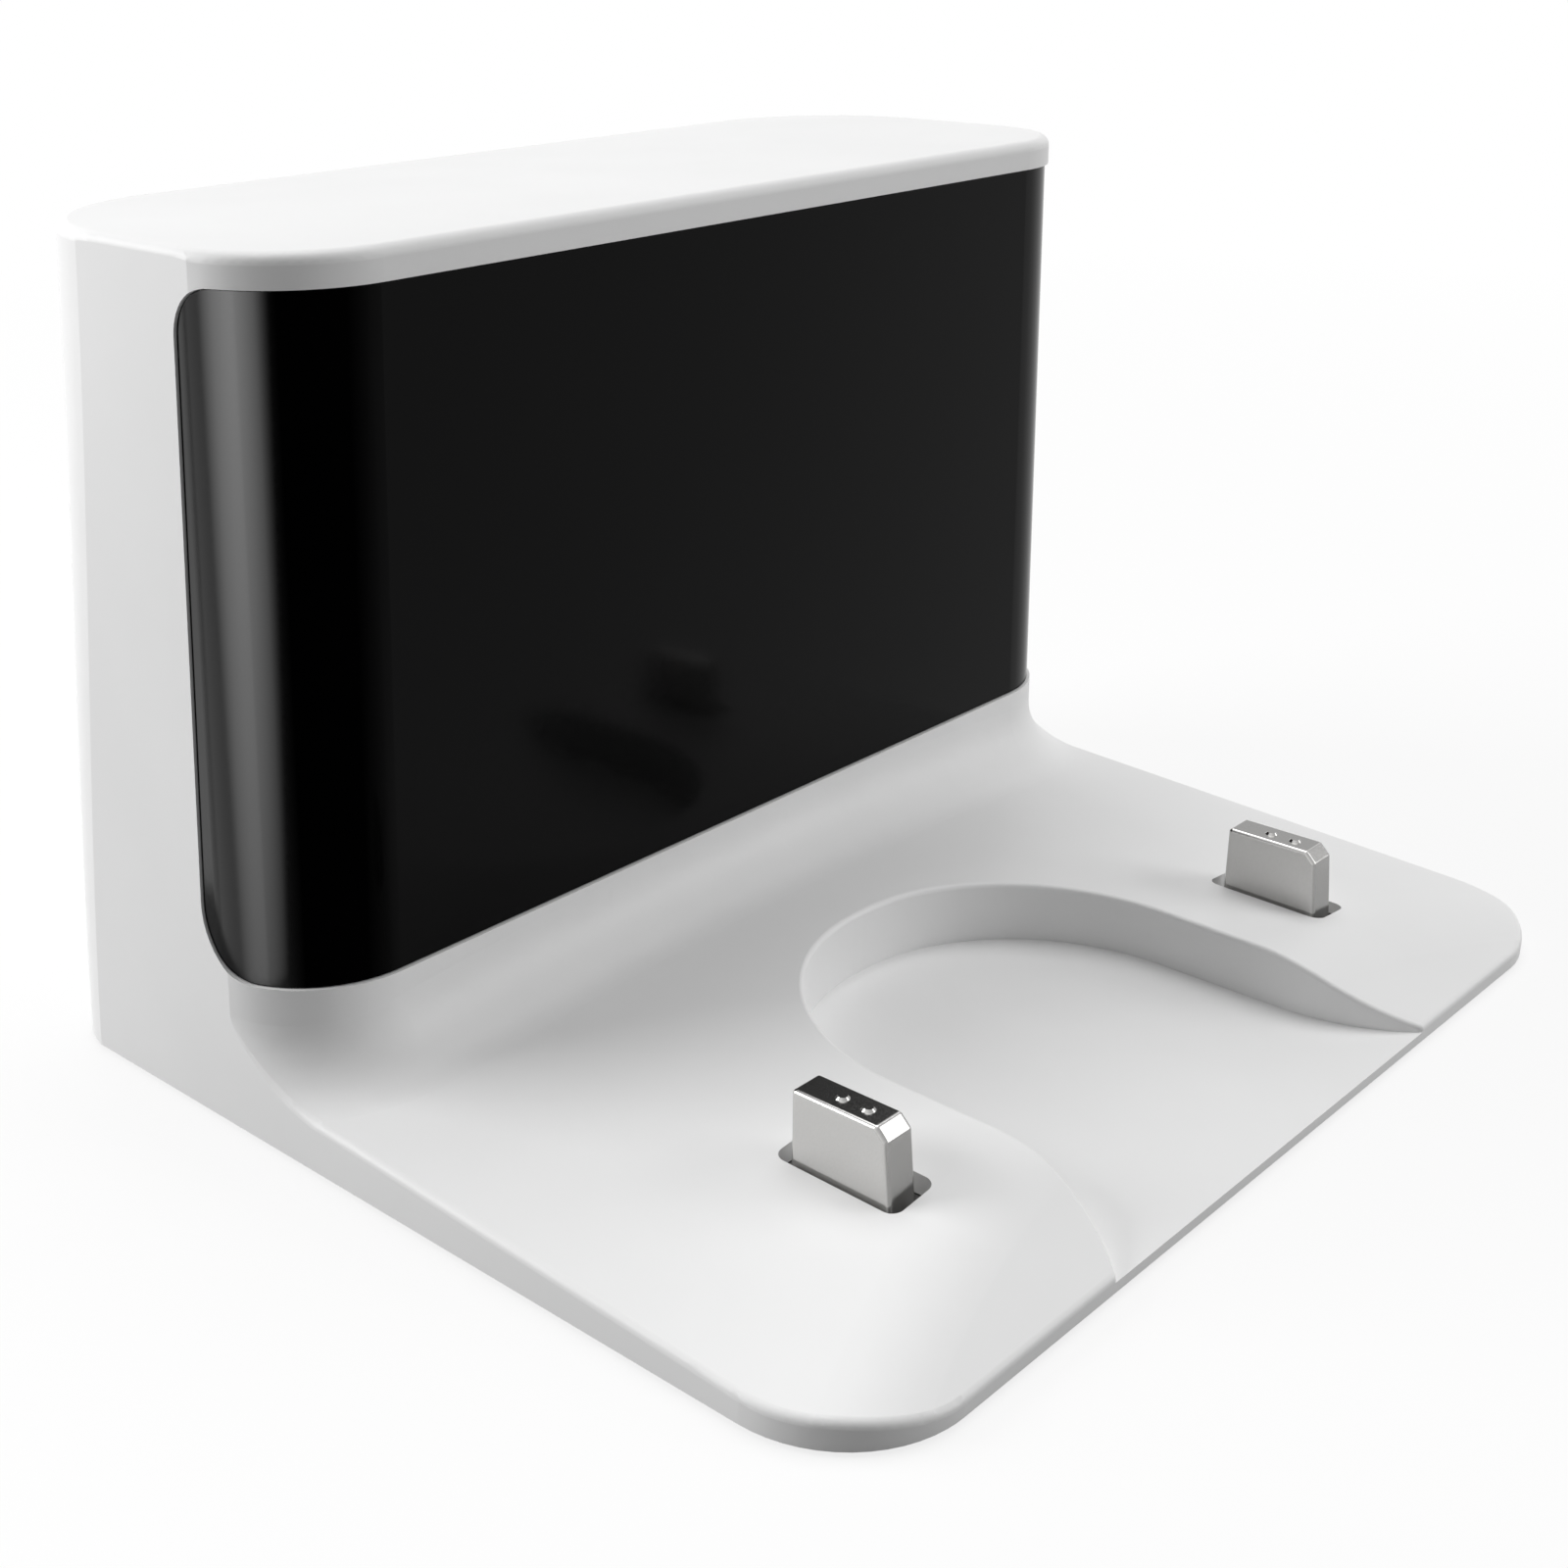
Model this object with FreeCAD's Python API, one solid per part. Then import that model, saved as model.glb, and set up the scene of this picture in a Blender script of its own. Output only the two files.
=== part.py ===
import FreeCAD, Part
import math
import os
from FreeCAD import Vector

# Charging dock for a robot vacuum, in millimetres.
# X runs to the right seen from the front, the ramp points to -Y, the wall side is +Y and Z is up.
# The origin is at the middle of the underside, on the floor that the feet stand on.

# Overall size
width = 151.0
depth = 130.0
height = 100.0
foot_proud = 0.5
side_lean = 3.7

# Tower
tower_depth = 50.5
tower_corner_radius = 14.8
rear_foot_radius = 12.2
rear_top_radius = 20.5
top_edge_radius = 1.3
wall = 2.6

# Ramp
lip_height = 2.0
ramp_height = 10.0
ramp_climb = 0.5
front_side_height = 2.5
heel_side_height = 6.3
slope_angle = 24.0
knee_radius = 24.0
heel_radius = 8.3
base_corner_radius = 15.0
ridge_radius = 1.0
ramp_overrun = 25.0
trim_graze = 0.15

# Caster recess in the ramp
recess_half = 28.4
recess_length = 60.9
recess_corner_radius = 27.4
recess_floor = 1.3
recess_wall = 1.8
flare_run = 16.0
flare_half = 34.5
rim_radius = 0.6

# Front window
window_sill = 0.3
window_lip = 3.7
window_wrap = 17.2
window_lean = 1.7
window_low_radius = 8.0
window_high_radius = 5.5
window_thickness = 1.2
window_recess = 0.3
window_gap = 0.15
light_half = 50.0
light_height = 30.0
light_drop = 8.0

# Hollow under the ramp and the base plate that closes it
hollow_margin = 9.5
hollow_setback = 19.0
plate_setback = 14.0
plate_corner_radius = 12.0
plate_thickness = 1.4
plate_gap = 0.25

# Charging contacts
contact_x = 44.8
contact_setback = 25.95
contact_width = 4.5
contact_length = 13.5
contact_rise = 6.2
contact_taper = 1.0
contact_nose = 1.4
contact_wall = 0.7
contact_edge_radius = 0.5
bump_spacing = 3.4
bump_diameter = 2.2
bump_height = 0.3
slot_left_gap = 0.5
slot_right_gap = 2.2
slot_front_gap = 0.8
slot_rear_gap = 2.0
slot_corner_radius = 1.5
flange_side = 3.4
flange_end = 3.2
flange_thickness = 0.8
contact_cover = 4.6
seat_gap = 0.1
guide_gap = 0.2
guide_wall = 1.2
guide_lift = 0.7
leaf_width = 3.2
leaf_thickness = 0.3
strip_width = 4.0
strip_thickness = 0.4
strip_setback = 4.5
strip_inset = 5.2

# Rear opening, cord tray and cover
opening_margin = 21.5
opening_sill = 7.5
opening_drop = 14.0
opening_radius = 8.0
tray_gap = 0.3
tray_wall = 1.8
tray_depth = 29.0
ear_width = 9.0
ear_reach = 11.0
cover_thickness = 2.0
cover_gap = 0.3
cover_seat_gap = 0.1
grip_half = 12.0
grip_depth = 9.0
exit_x = 41.0
exit_width = 10.0
exit_height = 7.0
clip_half = 8.0
clip_thickness = 1.5
clip_length = 5.0
clip_root = 0.5

# Mains inlet
inlet_board_gap = 2.0
inlet_rise = 20.0
inlet_width = 20.0
inlet_height = 12.0
inlet_depth = 13.0
inlet_flange = 1.5
inlet_flange_thickness = 1.5
mouth_width = 16.5
mouth_height = 8.6
mouth_depth = 12.0
pin_spacing = 8.6
pin_diameter = 2.4
pin_length = 9.0
tab_width = 2.4
tab_thickness = 0.8
tab_length = 2.0

# Circuit boards
board_thickness = 1.6
power_left = -50.0
power_right = 20.0
power_height = 36.0
board_spacing = 6.0
power_standoff = 2.0
emitter_half = 42.0
emitter_board_height = 26.0
emitter_drop = 10.0
emitter_setback = 6.9
post_diameter = 6.0
post_inset = 5.0
emitter_post_rise = 8.0
emitter_post_x = 36.0
emitter_diameter = 5.0
emitter_length = 2.2
emitter_pitch = 24.0
emitter_rise = 16.0
ribbon_width = 10.0
ribbon_thickness = 0.4
ribbon_inset = 2.0

# Parts on the power board, placed from its left edge and its bottom
transformer_x = 36.0
transformer_rise = 18.0
transformer_core = (20.0, 16.0, 11.0)
transformer_coil = (13.0, 21.0, 12.5)
bulk_x = 17.0
bulk_rise = 25.0
bulk_diameter = 10.0
bulk_length = 12.0
smoothing_x = 55.0
smoothing_rise = 27.0
smoothing_diameter = 8.0
smoothing_length = 11.0
choke_x = 16.0
choke_rise = 9.0
choke_diameter = 9.0
choke_waist = 6.0
choke_length = 8.0
choke_rim = 1.5
sink_x = 55.0
sink_rise = 9.0
sink_width = 13.0
sink_height = 12.0
sink_depth = 10.0
sink_web = 2.0
sink_fin = 1.2
sink_fins = 5
fuse_x = 38.0
fuse_rise = 33.0
fuse_diameter = 4.0
fuse_length = 12.0

# Fasteners and feet
screw_diameter = 2.4
screw_hole_gap = 0.1
screw_end_gap = 0.3
boss_diameter = 7.0
head_diameter = 5.0
head_height = 1.3
base_screw_length = 4.0
base_boss_height = 14.0
front_screw_inset = 9.0
front_screw_setback = 36.0
rear_screw_inset = 3.1
rear_screw_setback = 23.0
tray_screw_margin = 6.5
tray_screw_inset = 10.0
tray_boss_length = 5.5
tray_screw_length = 6.0
board_screw_length = 3.2
foot_diameter = 9.0
foot_sink = 0.7
front_foot_inset = 9.0
front_foot_setback = 24.0
rear_foot_inset = 17.5
rear_foot_setback = 15.0
over = 1.0
slack = 10.0

# Worked out from the sizes above
half_width = width / 2
front_y = -depth / 2
rear_y = depth / 2
under = foot_proud
shell_height = height - foot_proud
tower_front = rear_y - tower_depth
plate_top = under + plate_thickness
plate_front = front_y + plate_setback
hollow_half = half_width - hollow_margin
hollow_front = front_y + hollow_setback
recess_back = front_y + recess_length
flare_start = front_y + flare_run
window_bottom = under + ramp_height + heel_radius + window_sill
window_top = height - window_lip
window_back = tower_front + window_wrap
pocket_depth = window_recess + window_thickness
light_top = height - light_drop
light_bottom = light_top - light_height
contact_y = front_y + contact_setback
contact_top = under + ramp_height + contact_rise
seat_height = under + ramp_height - contact_cover
flange_top = seat_height - seat_gap
flange_bottom = flange_top - flange_thickness
strip_cross_y = tower_front - strip_setback
opening_half = half_width - opening_margin
opening_bottom = under + opening_sill
opening_top = height - opening_drop
tray_front = rear_y - tray_depth
tray_back = rear_y - cover_thickness - cover_seat_gap
board_front = tray_front - power_standoff - board_thickness
emitter_board_y = tower_front + emitter_setback
emitter_top = height - emitter_drop
emitter_bottom = emitter_top - emitter_board_height
emitter_post_z = emitter_bottom + emitter_post_rise
emitter_z = emitter_bottom + emitter_rise
power_top = emitter_bottom - board_spacing
power_bottom = power_top - power_height
inlet_x = power_right + inlet_board_gap + inlet_width / 2
inlet_z = power_bottom + inlet_rise
front_screw_x = hollow_half - front_screw_inset
front_screw_y = front_y + front_screw_setback
rear_screw_x = half_width - wall - rear_screw_inset
rear_screw_y = rear_y - rear_screw_setback
tray_screw_x = opening_half + tray_screw_margin
tray_screw_low = opening_bottom + tray_screw_inset
tray_screw_high = opening_top - tray_screw_inset
front_foot_x = hollow_half - front_foot_inset
front_foot_y = front_y + front_foot_setback
rear_foot_x = half_width - rear_foot_inset
rear_foot_y = rear_y - rear_foot_setback


def box(x0, x1, y0, y1, z0, z1):
    """Box between two corners."""
    return Part.makeBox(x1 - x0, y1 - y0, z1 - z0, Vector(x0, y0, z0))


def rod(diameter, start, direction, length):
    """Round bar from a point along a direction."""
    return Part.makeCylinder(diameter / 2, length, start, direction)


def prism(points, along):
    """Straight-sided outline extruded along a vector."""
    return Part.Face(Part.makePolygon(points + [points[0]])).extrude(along)


def fuse_all(shapes):
    """Union of a list of overlapping solids."""
    return shapes[0].multiFuse(shapes[1:]).removeSplitter()


def rounded_plate(x0, x1, y0, y1, z0, z1, radius):
    """Flat plate with rounded upright edges."""
    plate = box(x0, x1, y0, y1, z0, z1)
    uprights = [edge for edge in plate.Edges if edge.BoundBox.ZLength > (z1 - z0) / 2]
    return plate.makeFillet(radius, uprights)


def rounded_panel(x0, x1, z0, z1, y0, y1, radius):
    """Standing panel with rounded corners seen from the front."""
    panel = box(x0, x1, y0, y1, z0, z1)
    corners = [edge for edge in panel.Edges if edge.BoundBox.YLength > (y1 - y0) / 2]
    return panel.makeFillet(radius, corners)


def leaning_prism(y0, y1, z0, z1, inset):
    """Block as wide as the dock, with sides that lean in towards the top."""
    def side(z):
        return half_width - inset - side_lean * (z - under) / shell_height
    outline = [Vector(-side(z0), y0, z0), Vector(side(z0), y0, z0)]
    outline += [Vector(side(z1), y0, z1), Vector(-side(z1), y0, z1)]
    return prism(outline, Vector(0, y1 - y0, 0))


def upright_edges(shape, y):
    """Edges that stand up in the plane at y."""
    found = []
    for edge in shape.Edges:
        bounds = edge.BoundBox
        in_plane = abs(bounds.YMin - y) < 1e-6 and abs(bounds.YMax - y) < 1e-6
        if in_plane and bounds.ZLength > bounds.XLength:
            found.append(edge)
    return found


def tower_block(inset, z0, z1):
    """Tower form, set in from its outer faces."""
    block = leaning_prism(tower_front + inset, rear_y - inset, z0, z1, inset)
    block = block.makeFillet(tower_corner_radius - inset, upright_edges(block, tower_front + inset))

    def radius(z):
        return rear_foot_radius + (rear_top_radius - rear_foot_radius) * (z - under) / shell_height - inset

    for side in (-1, 1):
        edges = [edge for edge in upright_edges(block, rear_y - inset) if edge.BoundBox.XMax * side > 0]
        rising = edges[0].Vertexes[0].Z < edges[0].Vertexes[1].Z
        ends = (radius(z0), radius(z1)) if rising else (radius(z1), radius(z0))
        block = block.makeFillet(ends[0], ends[1], edges)
    return block


def crown(drop):
    """Block whose upper side is the ramp's crowned surface, lowered by drop."""
    reach = half_width + ramp_overrun
    low = under - 2 * slack

    def section(y):
        share = (y - front_y) / (tower_front - front_y)
        middle = ramp_height - ramp_climb * (1 - share)
        sag = middle - front_side_height - (heel_side_height - front_side_height) * share
        radius = (half_width ** 2 + sag ** 2) / (2 * sag)
        top = under + middle - drop
        edge = top - radius + math.sqrt(radius ** 2 - reach ** 2)
        arc = Part.Arc(Vector(-reach, y, edge), Vector(0, y, top), Vector(reach, y, edge)).toShape()
        corners = [Vector(reach, y, edge), Vector(reach, y, low)]
        corners += [Vector(-reach, y, low), Vector(-reach, y, edge)]
        return Part.Wire([arc] + Part.makePolygon(corners).Edges)

    back = tower_front + tower_corner_radius + 2 * slack
    return Part.makeLoft([section(front_y - slack), section(back)], True, True)


def ramp_slab():
    """Crowned ramp, wider than the dock, with its sloping front and rounded knee."""
    reach = half_width + ramp_overrun
    back = tower_front + tower_corner_radius + slack
    slab = box(over - reach, reach - over, front_y, back, under, under + 2 * ramp_height)
    slab = slab.common(crown(0))
    above = box(-2 * reach, 2 * reach, 0, depth, 0, height)
    above.rotate(Vector(0, 0, 0), Vector(1, 0, 0), slope_angle)
    above.translate(Vector(0, front_y, under + lip_height))
    slab = slab.cut(above)
    knee = []
    for edge in slab.Edges:
        bounds = edge.BoundBox
        if bounds.XLength > width - base_corner_radius and bounds.YLength > 1 and bounds.YMax < recess_back:
            knee.append(edge)
    return slab.makeFillet(knee_radius, knee)


def heel_edges(body):
    """Hollow corner where the tower's front and sides stand on the ramp."""
    found = []
    for edge in body.Edges:
        middle = edge.valueAt((edge.FirstParameter + edge.LastParameter) / 2)
        bounds = edge.BoundBox
        on_ramp = bounds.ZMin > under + lip_height and bounds.ZMax < under + ramp_height + 1
        on_tower = middle.y > tower_front - 0.1 and abs(middle.x) < half_width
        if on_ramp and on_tower and bounds.YMax < tower_front + tower_corner_radius + slack + 0.1:
            if bounds.XLength < width and abs(middle.x) < half_width + 1:
                found.append(edge)
    return found


def rounded_tower():
    """Tower a little wider than the dock, with its top edge rounded."""
    tower = tower_block(-trim_graze, under, height)
    rim = [edge for edge in tower.Edges if edge.BoundBox.ZMin > height - 1e-6]
    return tower.makeFillet(top_edge_radius, rim)


def ridge_edges(body):
    """Upper edge of the ramp along its sides and round its front corners."""
    found = []
    for edge in body.Edges:
        middle = edge.valueAt((edge.FirstParameter + edge.LastParameter) / 2)
        bounds = edge.BoundBox
        on_ramp = bounds.ZMin > under + lip_height / 2 and bounds.ZMax < under + ramp_height
        if on_ramp and bounds.YMax < tower_front and abs(middle.x) > half_width - base_corner_radius:
            found.append(edge)
    return found


def outer_body():
    """Outside form of the housing: tower, ramp and the hollow blend between them."""
    body = rounded_tower().fuse(ramp_slab())
    body = body.makeFillet(heel_radius, heel_edges(body))
    trim = leaning_prism(front_y, rear_y, under, height + slack, 0)
    trim = trim.makeFillet(base_corner_radius, upright_edges(trim, front_y))
    body = body.common(trim).removeSplitter()
    return body.makeFillet(ridge_radius, ridge_edges(body))


def recess(grow, z0, z1):
    """U-shaped well for the caster wheel, open to the front, with a flared mouth."""
    side = recess_half + grow
    back = recess_back + grow
    turn = recess_corner_radius + grow
    spread = flare_half - recess_half
    run = flare_start - front_y
    flare_radius = (spread ** 2 + run ** 2) / (2 * spread)
    flare_turn = math.asin(run / flare_radius)

    def flare(share):
        out = flare_radius * (1 - math.cos(flare_turn * share))
        forward = flare_radius * math.sin(flare_turn * share)
        return Vector(side + out, flare_start - forward, z0)

    def mirrored(point):
        return Vector(-point.x, point.y, point.z)

    mouth = flare(1.2)
    straight = Vector(side, back - turn, z0)
    corner = Vector(side - turn * (1 - math.sqrt(0.5)), back - turn * (1 - math.sqrt(0.5)), z0)
    rear = Vector(side - turn, back, z0)
    right = [Part.Arc(mouth, flare(0.6), flare(0)).toShape()]
    right.append(Part.LineSegment(flare(0), straight).toShape())
    right.append(Part.Arc(straight, corner, rear).toShape())
    left = [Part.Arc(mirrored(rear), mirrored(corner), mirrored(straight)).toShape()]
    left.append(Part.LineSegment(mirrored(straight), mirrored(flare(0))).toShape())
    left.append(Part.Arc(mirrored(flare(0)), mirrored(flare(0.6)), mirrored(mouth)).toShape())
    across = [Part.LineSegment(rear, mirrored(rear)).toShape()]
    close = [Part.LineSegment(mirrored(mouth), mouth).toShape()]
    return Part.Face(Part.Wire(right + across + left + close)).extrude(Vector(0, 0, z1 - z0))


def window_prism(shrink):
    """Outline of the window seen from the side, across the whole width."""
    low = window_bottom + shrink
    high = window_top - shrink
    front = tower_front - slack

    def back(z):
        return window_back - window_lean * (z - window_bottom) / (window_top - window_bottom) - shrink

    def rear_edge(shape, z):
        corner = Vector(0, back(z), z)
        return [edge for edge in shape.Edges if edge.CenterOfMass.isEqual(corner, 1e-6)]

    outline = [Vector(-width, front, low), Vector(-width, back(low), low)]
    outline += [Vector(-width, back(high), high), Vector(-width, front, high)]
    panel = prism(outline, Vector(2 * width, 0, 0))

    panel = panel.makeFillet(window_low_radius - shrink, rear_edge(panel, low))
    return panel.makeFillet(window_high_radius - shrink, rear_edge(panel, high))


def plan(gap, z0, z1):
    """Area that the base plate covers, less a gap all round."""
    front = rounded_plate(-hollow_half + gap, hollow_half - gap, plate_front + gap,
                          tower_front + 2 * tower_corner_radius, z0, z1, plate_corner_radius - gap)
    return fuse_all([front, tower_block(wall + gap, z0, z1)])


def contact_box(side, grow_x, grow_y, z0, z1, radius):
    """Upright block round one contact, larger than its blade by the given amounts."""
    half_x = contact_width / 2 + grow_x
    half_y = contact_length / 2 + grow_y
    x = side * contact_x
    return rounded_plate(x - half_x, x + half_x, contact_y - half_y, contact_y + half_y, z0, z1, radius)


def contact_slot(side):
    """Opening in the ramp round a contact, wider on its right and at its rear."""
    x = side * contact_x
    return rounded_plate(x - contact_width / 2 - slot_left_gap, x + contact_width / 2 + slot_right_gap,
                         contact_y - contact_length / 2 - slot_front_gap,
                         contact_y + contact_length / 2 + slot_rear_gap,
                         seat_height - over, contact_top, slot_corner_radius)


def base_screw_places():
    """Places of the screws that hold the base plate."""
    places = []
    for side in (-1, 1):
        places.append(Vector(side * front_screw_x, front_screw_y, under))
        places.append(Vector(side * rear_screw_x, rear_screw_y, under))
    return places


def tray_screw_places():
    """Places of the screws that hold the cord tray, on the face of its ears."""
    y = rear_y - wall - tray_boss_length - tray_wall
    return [Vector(side * tray_screw_x, y, z) for side in (-1, 1) for z in (tray_screw_low, tray_screw_high)]


def hollow():
    """Inside of the housing, less the well and the bosses that stand in it."""
    ramp_room = rounded_plate(-hollow_half, hollow_half, hollow_front, tower_front + 2 * tower_corner_radius,
                              under - over, under + ramp_height, plate_corner_radius)
    ramp_room = ramp_room.common(crown(wall))
    room = fuse_all([ramp_room, tower_block(wall, under - over, height - wall)])
    keep = [recess(recess_wall, under - 2 * over, height / 2)]
    for side in (-1, 1):
        wide = guide_gap + guide_wall
        keep.append(contact_box(side, flange_side + wide, flange_end + wide,
                                plate_top + guide_lift, under + ramp_height, guide_wall))
    for place in base_screw_places():
        start = Vector(place.x, place.y, plate_top)
        keep.append(rod(boss_diameter, start, Vector(0, 0, 1), base_boss_height))
    for place in tray_screw_places():
        start = place + Vector(0, tray_wall, 0)
        keep.append(rod(boss_diameter, start, Vector(0, 1, 0), tray_boss_length + wall))
    for shape in keep:
        room = room.cut(shape)
    return room


def rim_edges(body):
    """Upper edge of the well, where its walls meet the ramp."""
    well = recess(0, 0, height)
    found = []
    for edge in body.Edges:
        middle = edge.valueAt((edge.FirstParameter + edge.LastParameter) / 2)
        bounds = edge.BoundBox
        if bounds.ZMin > under + recess_floor + 0.1 and bounds.ZLength < bounds.DiagonalLength * 0.9:
            near = well.distToShape(Part.Vertex(middle))[0]
            inside = abs(middle.x) < flare_half + 1 and middle.y < recess_back + 0.1
            on_wall = min(f.distToShape(Part.Vertex(middle))[0] for f in well.Faces) < 1e-3
            if near < 1e-3 and on_wall and inside:
                found.append(edge)
    return found


def main_housing():
    """White moulded shell: tower, ramp, caster well, contact slots and window pocket."""
    body = outer_body()
    body = body.cut(recess(0, under + recess_floor, height / 2))
    body = body.makeFillet(rim_radius, rim_edges(body))
    body = body.cut(hollow())
    cuts = [plan(0, under - over, plate_top).cut(recess(recess_wall, under - 2 * over, height / 2))]
    for side in (-1, 1):
        cuts.append(contact_slot(side))
        cuts.append(contact_box(side, flange_side + guide_gap, flange_end + guide_gap,
                                plate_top - guide_gap, seat_height, guide_gap))
    pocket = window_prism(0)
    cuts.append(pocket.cut(tower_block(pocket_depth, 0, height + slack)))
    cuts.append(rounded_panel(-light_half, light_half, light_bottom, light_top,
                              tower_front - over, tower_front + wall + over, window_high_radius))
    cuts.append(rounded_panel(-opening_half, opening_half, opening_bottom, opening_top,
                              rear_y - wall - over, rear_y + over, opening_radius))
    hole = screw_diameter + 2 * screw_hole_gap
    for place in base_screw_places():
        cuts.append(rod(hole, place, Vector(0, 0, 1), base_screw_length + screw_end_gap))
    for place in tray_screw_places():
        cuts.append(rod(hole, place, Vector(0, 1, 0), tray_screw_length + screw_end_gap))
    for shape in cuts:
        body = body.cut(shape)
    return body


def front_window():
    """Dark infrared cover that wraps round both front corners of the tower."""
    skin = tower_block(window_recess, window_bottom - over, window_top + over)
    skin = skin.cut(tower_block(pocket_depth, window_bottom - 2 * over, window_top + 2 * over))
    return skin.common(window_prism(window_gap))


def base_plate():
    """Flat cover under the dock, cut out round the caster well."""
    plate = plan(plate_gap, under, plate_top)
    plate = plate.cut(recess(recess_wall + plate_gap, under - over, plate_top + over))
    for place in base_screw_places():
        plate = plate.cut(countersunk_screw(place, screw_hole_gap))
    for x, y in foot_places().values():
        plate = plate.cut(rod(foot_diameter, Vector(x, y, under), Vector(0, 0, 1), foot_sink))
    return plate


def countersunk_screw(place, gap):
    """Flat-headed screw that points up from the underside."""
    head = Part.makeCone(head_diameter / 2, screw_diameter / 2, head_height, place)
    shank = rod(screw_diameter + 2 * gap, place, Vector(0, 0, 1), base_screw_length)
    return fuse_all([head, shank])


def pan_screw(place, direction, length):
    """Pan-headed screw; its place is the underside of the head."""
    head = rod(head_diameter, place - direction * head_height, direction, head_height)
    return fuse_all([head, rod(screw_diameter, place, direction, length)])


def contact(side):
    """Plated charging blade: a hollow cap with two bumps, on a flange that stops it under the ramp."""
    low = flange_bottom
    front = -contact_length / 2
    back = contact_length / 2

    def cap(inset, top):
        half = contact_width / 2 - inset
        ends = [(front + inset, low), (back - inset, low), (back - inset, top)]
        ends += [(front + contact_taper + contact_nose + inset / 2, top)]
        ends += [(front + contact_taper + inset, top - contact_nose)]
        return prism([Vector(-half, y, z) for y, z in ends], Vector(2 * half, 0, 0))

    blade = cap(0, contact_top)
    upper_edges = [edge for edge in blade.Edges if edge.BoundBox.ZMax > low + 1e-6]
    blade = blade.makeFillet(contact_edge_radius, upper_edges)
    half_x = contact_width / 2 + flange_side
    half_y = contact_length / 2 + flange_end
    flange = rounded_plate(-half_x, half_x, -half_y, half_y, low, flange_top, slot_corner_radius)
    solid = fuse_all([blade, flange])
    for step in (-0.5, 0.5):
        foot = Vector(0, step * bump_spacing, contact_top - bump_height)
        bump = Part.makeCone(bump_diameter / 2, bump_diameter / 4, 2 * bump_height, foot)
        solid = solid.fuse(bump)
    solid = solid.cut(cap(contact_wall, contact_top - contact_wall))
    solid.translate(Vector(side * contact_x, contact_y, 0))
    return solid


def contact_spring(side):
    """Leaf spring under a contact: a foot on the base plate and an arm folded back up to the flange."""
    half_y = contact_length / 2 + flange_end
    front = contact_y - half_y + leaf_thickness
    back = contact_y + half_y + guide_gap + guide_wall + leaf_width / 2
    tip = contact_y + half_y / 3
    low = plate_top
    high = flange_bottom - seat_gap / 2
    rise = low + 3 * leaf_thickness
    outline = [(back, low), (front, low), (front - leaf_thickness, low + leaf_thickness)]
    outline += [(front - leaf_thickness, rise), (tip, high), (tip + leaf_thickness, high - leaf_thickness)]
    outline += [(front + leaf_thickness, rise - leaf_thickness / 2), (front, rise - leaf_thickness)]
    outline += [(front + leaf_thickness, low + leaf_thickness), (back, low + leaf_thickness)]
    x = side * contact_x - leaf_width / 2
    return prism([Vector(x, y, z) for y, z in outline], Vector(leaf_width, 0, 0))


def contact_strip(side):
    """Flat brass strip from a contact spring along the base plate and up to the power board."""
    start = contact_y + contact_length / 2 + flange_end + guide_gap + guide_wall + leaf_width / 2
    riser = tower_front + wall + strip_width
    x = side * contact_x
    end_x = power_left + strip_inset if side < 0 else power_right - strip_width
    half = strip_width / 2
    flat = [box(x - half, x + half, start, strip_cross_y + half, plate_top, plate_top + strip_thickness)]
    low_x = min(x, end_x) - half
    high_x = max(x, end_x) + half
    flat.append(box(low_x, high_x, strip_cross_y - half, strip_cross_y + half,
                    plate_top, plate_top + strip_thickness))
    flat.append(box(end_x - half, end_x + half, strip_cross_y - half, riser,
                    plate_top, plate_top + strip_thickness))
    top = power_bottom + strip_width
    flat.append(box(end_x - half, end_x + half, riser - strip_thickness, riser, plate_top, top))
    flat.append(box(end_x - half, end_x + half, riser - strip_thickness, board_front,
                    top - strip_thickness, top))
    return fuse_all(flat)


def cord_tray():
    """Tub behind the rear cover that the spare cord is wound into, with posts for the boards."""
    half = opening_half - tray_gap
    low = opening_bottom + tray_gap
    high = opening_top - tray_gap
    radius = opening_radius - tray_gap
    tub = rounded_panel(-half, half, low, high, tray_front, tray_back, radius)
    pieces = [tub]
    ear_y = rear_y - wall - tray_boss_length - tray_wall
    for side in (-1, 1):
        for z in (tray_screw_low, tray_screw_high):
            ends = sorted((side * (half - tray_wall / 2), side * (half + ear_reach)))
            pieces.append(box(ends[0], ends[1], ear_y, ear_y + tray_wall, z - ear_width / 2, z + ear_width / 2))
    for place in board_screw_places():
        start = Vector(place.x, place.y + board_thickness, place.z)
        reach = tray_front + tray_wall / 2 - start.y
        pieces.append(rod(post_diameter, start, Vector(0, 1, 0), reach))
    tray = fuse_all(pieces)
    inside = rounded_panel(-half + tray_wall, half - tray_wall, low + tray_wall, high - tray_wall,
                           tray_front + tray_wall, tray_back + over, radius - tray_wall)
    tray = tray.cut(inside)
    half_x = inlet_width / 2 + tray_gap
    half_z = inlet_height / 2 + tray_gap
    tray = tray.cut(rounded_panel(inlet_x - half_x, inlet_x + half_x, inlet_z - half_z, inlet_z + half_z,
                                  tray_front - over, tray_front + tray_wall + over, half_z - tray_gap / 2))
    hole = screw_diameter + 2 * screw_hole_gap
    for place in tray_screw_places():
        tray = tray.cut(rod(hole, place - Vector(0, over, 0), Vector(0, 1, 0), tray_screw_length))
    for place in board_screw_places():
        tray = tray.cut(rod(hole, place, Vector(0, 1, 0), board_screw_length + screw_end_gap))
    return tray


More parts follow.
